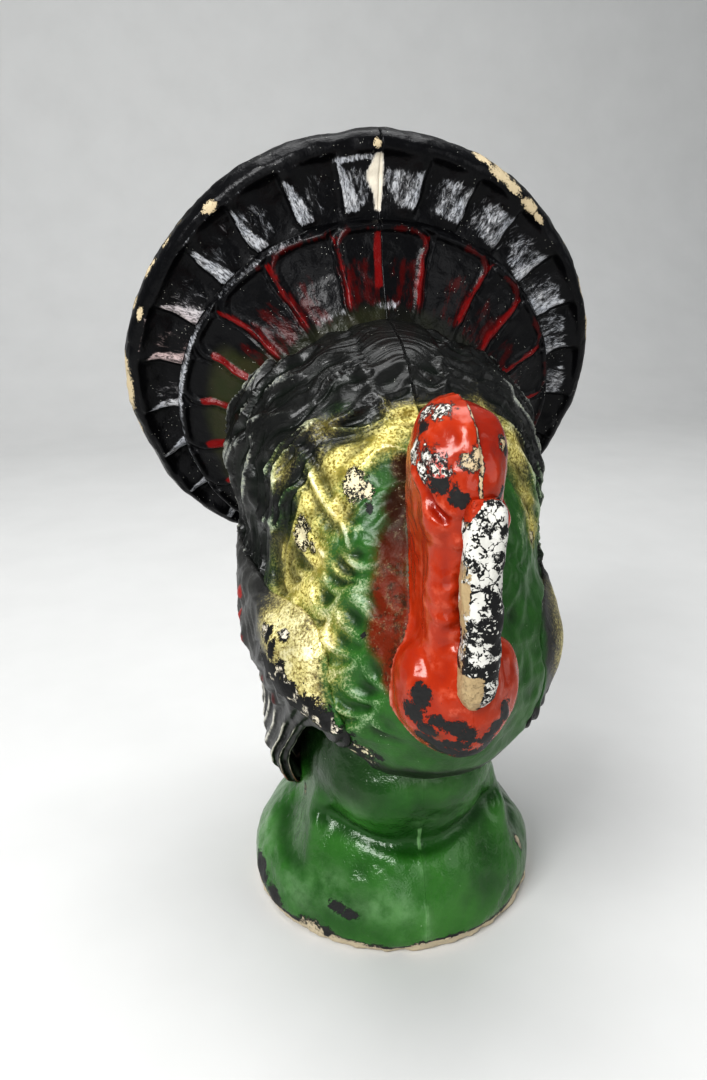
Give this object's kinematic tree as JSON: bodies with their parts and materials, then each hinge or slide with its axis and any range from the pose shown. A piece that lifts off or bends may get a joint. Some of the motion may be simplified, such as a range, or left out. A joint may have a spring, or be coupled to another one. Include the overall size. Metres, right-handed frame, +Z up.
{
  "type": "turkey decoy",
  "caption": "Moulded papier-mache tom turkey with a fanned tail, a long hanging snood and wattle, and folded wings, standing on a flared round pedestal that rests on its card-closed underside.",
  "frame": {"origin": "centre of the pedestal's underside, on the median plane of the bird", "axes": "+Z up through the bird, beak towards -Y, bird's left towards +X"},
  "size_m": [0.201, 0.2037, 0.2999],
  "materials": {
    "pulp_green": "gloss painted paper pulp",
    "pulp_plumage": "gloss painted paper pulp, black to gold-green airbrush",
    "pulp_gold": "gloss painted paper pulp, bronze gold over black",
    "pulp_red": "gloss painted paper pulp",
    "snood_pulp": "worn white paint over black ground on rolled pulp",
    "pulp_black": "gloss painted paper pulp with dry-brushed white and red",
    "grey_card": "bare grey card",
    "strip_paper": "bare glued paper"
  },
  "bodies": {
    "root": {"pedestal_shell_right": "pulp_green", "pedestal_shell_left": "pulp_green", "body_shell_right": "pulp_plumage", "body_shell_left": "pulp_plumage", "wing_right": "pulp_gold", "wing_left": "pulp_gold", "head_right": "pulp_red", "head_left": "pulp_red", "snood": "snood_pulp", "tail_outer_right": "pulp_black", "tail_outer_left": "pulp_black", "tail_inner_right": "pulp_black", "tail_inner_left": "pulp_black", "base_disc": "grey_card", "body_seam_strip": "strip_paper", "pedestal_seam_strips": "strip_paper"}
  },
  "joints": []
}
